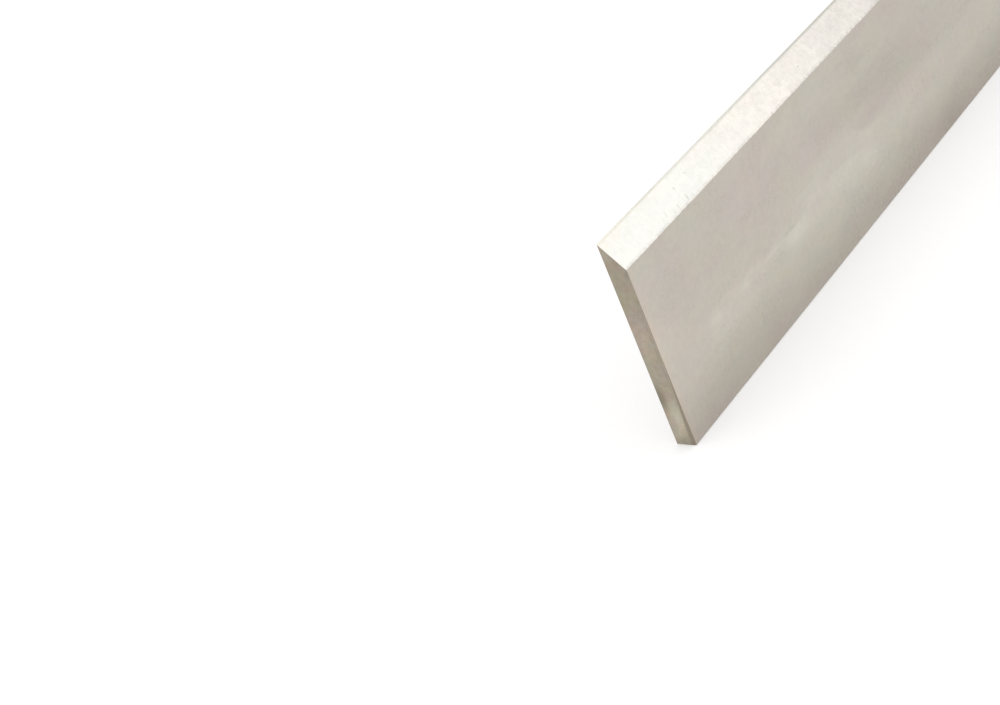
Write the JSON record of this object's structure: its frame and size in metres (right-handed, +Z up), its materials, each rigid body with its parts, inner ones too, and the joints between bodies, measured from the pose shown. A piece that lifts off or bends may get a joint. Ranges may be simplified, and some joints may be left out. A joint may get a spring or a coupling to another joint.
{
  "type": "planer knife",
  "caption": "Straight planer knife: thin flat bar of ground steel with a bevel along a long edge and a narrow honed land at the cutting edge.",
  "frame": {"origin": "middle of the flat spine face that the knife stands on, half way along its length and thickness", "axes": "+X along the knife's length, away from the end with the dubbed corner; +Y through the thickness, from the bevelled front face to the flat back face; +Z up from the spine to the cutting edge"},
  "size_m": [0.31, 0.003, 0.03],
  "materials": {
    "ground_steel": "fine ground, with grinding marks across the width and a brighter freshly ground bevel"
  },
  "bodies": {
    "root": {"planer_knife": "ground_steel"}
  },
  "joints": []
}
